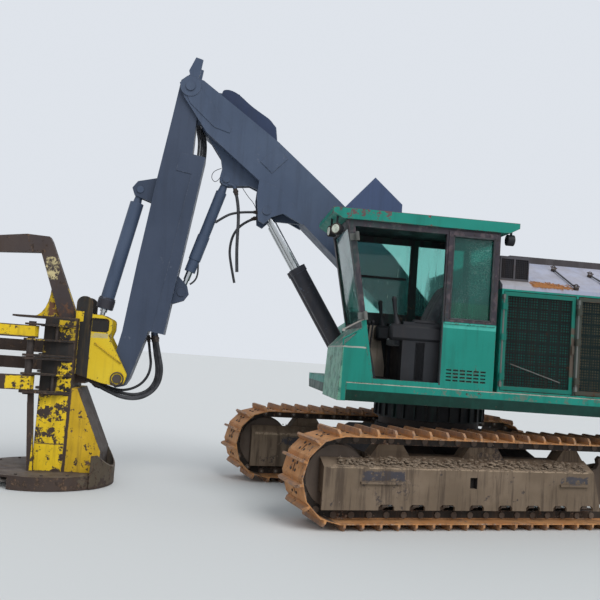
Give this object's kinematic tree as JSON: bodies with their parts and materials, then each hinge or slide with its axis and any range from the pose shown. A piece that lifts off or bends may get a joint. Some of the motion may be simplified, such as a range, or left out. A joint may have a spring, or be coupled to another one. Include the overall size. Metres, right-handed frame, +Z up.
{
  "type": "tracked feller buncher",
  "caption": "Tracked forestry machine with a hollow side cab, lifting boom, folding stick and a tilting disc saw felling head with hinged arms.",
  "frame": {"origin": "on the swing axis at ground level, between the tracks", "axes": "+X ahead along the upper body, +Y to the machine's left, the cab's side, +Z up"},
  "size_m": [7.9421, 3.9992, 5.0582],
  "materials": {
    "teal_paint": "weathered teal paint, dirty and scuffed",
    "dark_green_paint": "dark green paint with oil and dust",
    "pale_green_paint": "faded pale green paint, streaked",
    "slate_paint": "faded dark slate blue paint, chalky",
    "hood_paint": "faded grey blue paint with dust",
    "head_yellow": "worn yellow paint over rust",
    "rust": "brown rust",
    "track_steel": "orange tan rust on worn steel",
    "frame_mud": "dark steel caked in dry mud",
    "chrome_rod": "chromed rod",
    "cylinder_paint": "dark oily paint",
    "pin_steel": "greasy bare steel",
    "tinted_glass": "green tinted glass, crazed",
    "lamp": "work lamp with a clear lens",
    "seat_cloth": "dark worn seat cloth",
    "interior": "dark moulded plastic",
    "black_rubber": "black rubber",
    "engine_iron": "oily iron",
    "grille_wire": "dark wire screen with dust",
    "saw_steel": "scoured saw steel"
  },
  "bodies": {
    "undercarriage": {"car_body": "frame_mud", "swing_bearing": "pin_steel", "track_frame_left": "frame_mud", "track_frame_right": "frame_mud", "track_loop_left": "track_steel", "track_loop_right": "track_steel", "track_rollers": "frame_mud", "front_idlers": "frame_mud", "drive_sprockets": "frame_mud"},
    "upper": {"deck": "teal_paint", "boom_foot_bracket": "dark_green_paint", "boom_foot_pin": "pin_steel", "hoist_bracket": "dark_green_paint", "hoist_base_pin": "pin_steel", "counterweight": "teal_paint", "side_tank": "teal_paint", "cab_shell": "teal_paint", "cab_glass": "tinted_glass", "cab_roof": "teal_paint", "work_lamps": "lamp", "nose_box": "pale_green_paint", "door_hinges": "teal_paint", "seat_base": "interior", "operator_seat": "seat_cloth", "engine_house": "teal_paint", "door_hinge_rods": "pin_steel", "engine_hood": "hood_paint", "screen_box": "hood_paint", "engine_block": "engine_iron"},
    "front_door": {"engine_door_front": "teal_paint", "front_door_grille": "grille_wire"},
    "rear_door": {"engine_door_rear": "teal_paint", "rear_door_grille": "grille_wire"},
    "boom": {"boom": "slate_paint", "elbow_pin": "pin_steel", "stick_base_pin": "pin_steel", "boom_valve_box": "slate_paint", "boom_hose_front": "black_rubber", "boom_hose_rear": "black_rubber"},
    "hoist_barrel": {"hoist_barrels": "cylinder_paint"},
    "hoist_rod": {"hoist_rods": "chrome_rod"},
    "stick": {"stick": "slate_paint", "tilt_base_pin": "pin_steel", "wrist_hose_left": "black_rubber", "wrist_hose_right": "black_rubber"},
    "stick_barrel": {"stick_cylinder_barrel": "cylinder_paint"},
    "stick_rod": {"stick_cylinder_rod": "chrome_rod"},
    "tilt_barrel": {"tilt_cylinder_barrel": "cylinder_paint"},
    "tilt_rod": {"tilt_cylinder_rod": "chrome_rod"},
    "head": {"wrist_bracket": "head_yellow", "wrist_pin": "pin_steel", "head_tower": "head_yellow", "arm_pins": "pin_steel", "head_horn": "rust", "saw_housing": "rust"},
    "saw": {"saw_disc": "saw_steel"},
    "lower_grab_arm": {"lower_grab_arm": "head_yellow"},
    "lower_return_arm": {"lower_return_arm": "head_yellow"},
    "upper_return_arm": {"upper_return_arm": "head_yellow"},
    "upper_grab_arm": {"upper_grab_arm": "head_yellow"}
  },
  "joints": [
    {"name": "swing", "type": "hinge", "parent": "undercarriage", "child": "upper", "pos_m": [0, 0, 1], "axis": [0, 0, 1], "continuous": true},
    {"name": "boom_lift", "type": "hinge", "parent": "upper", "child": "boom", "pos_m": [0.15, 0, 2.05], "axis": [0, -1, 0], "range_deg": [-30, 19]},
    {"name": "stick_fold", "type": "hinge", "parent": "boom", "child": "stick", "pos_m": [3.17, 0, 4.7], "axis": [0, 1, 0], "range_deg": [-52, 4]},
    {"name": "head_tilt", "type": "hinge", "parent": "stick", "child": "head", "pos_m": [3.72, 0, 1.21], "axis": [0, 1, 0], "range_deg": [-8, 75], "deforming": ["wrist_hose_left", "wrist_hose_right"]},
    {"name": "saw_spin", "type": "hinge", "parent": "head", "child": "saw", "pos_m": [4.45, 0, 0.1], "axis": [0, 0, 1], "continuous": true},
    {"name": "hoist_barrel_turn", "type": "hinge", "parent": "upper", "child": "hoist_barrel", "pos_m": [1.08, 0, 1.62], "axis": [0, -1, 0], "range_deg": [-34.19, 21.84]},
    {"name": "hoist_rod_slide", "type": "slide", "parent": "hoist_barrel", "child": "hoist_rod", "axis": [0.5408, 0, 0.8412], "range_m": [-0.487, 0.3102]},
    {"name": "stick_barrel_turn", "type": "hinge", "parent": "boom", "child": "stick_barrel", "pos_m": [2.665, 0, 3.66], "axis": [0, -1, 0], "range_deg": [-5.3, 62.9]},
    {"name": "stick_rod_slide", "type": "slide", "parent": "stick_barrel", "child": "stick_rod", "axis": [0.2891, 0, -0.9573], "range_m": [-0.0728, 0.8858]},
    {"name": "tilt_barrel_turn", "type": "hinge", "parent": "stick", "child": "tilt_barrel", "pos_m": [3.66, 0, 3.44], "axis": [0, -1, 0], "range_deg": [-1.27, 7.72]},
    {"name": "tilt_rod_slide", "type": "slide", "parent": "tilt_barrel", "child": "tilt_rod", "axis": [0.2042, 0, -0.9789], "range_m": [-0.081, 0.7172]},
    {"name": "engine_door_front_hinge", "type": "hinge", "parent": "upper", "child": "front_door", "pos_m": [-0.306, 1.49, 1.9], "axis": [0, 0, -1], "range_deg": [0, 100]},
    {"name": "engine_door_rear_hinge", "type": "hinge", "parent": "upper", "child": "rear_door", "pos_m": [-1.124, 1.49, 1.9], "axis": [0, 0, -1], "range_deg": [0, 100]},
    {"name": "lower_grab_arm_swing", "type": "hinge", "parent": "head", "child": "lower_grab_arm", "pos_m": [4.66, 0.4, 1.2], "axis": [0, 0, -1], "range_deg": [-10, 50]},
    {"name": "lower_return_arm_swing", "type": "hinge", "parent": "head", "child": "lower_return_arm", "pos_m": [4.66, -0.4, 1.2], "axis": [0, 0, 1], "range_deg": [-10, 50]},
    {"name": "upper_return_arm_swing", "type": "hinge", "parent": "head", "child": "upper_return_arm", "pos_m": [4.66, -0.4, 1.2], "axis": [0, 0, 1], "range_deg": [-10, 50]},
    {"name": "upper_grab_arm_swing", "type": "hinge", "parent": "head", "child": "upper_grab_arm", "pos_m": [4.66, 0.4, 1.2], "axis": [0, 0, -1], "range_deg": [-10, 50]}
  ],
  "couplings": [
    {"joint": "hoist_barrel_turn", "follows": "boom_lift", "ratio": 1.1231},
    {"joint": "hoist_rod_slide", "follows": "boom_lift", "m_per_rad": 0.9205},
    {"joint": "stick_barrel_turn", "follows": "stick_fold", "ratio": -1.2},
    {"joint": "stick_rod_slide", "follows": "stick_fold", "m_per_rad": -0.9705},
    {"joint": "tilt_barrel_turn", "follows": "head_tilt", "ratio": 0.0963},
    {"joint": "tilt_rod_slide", "follows": "head_tilt", "m_per_rad": 0.5441}
  ]
}
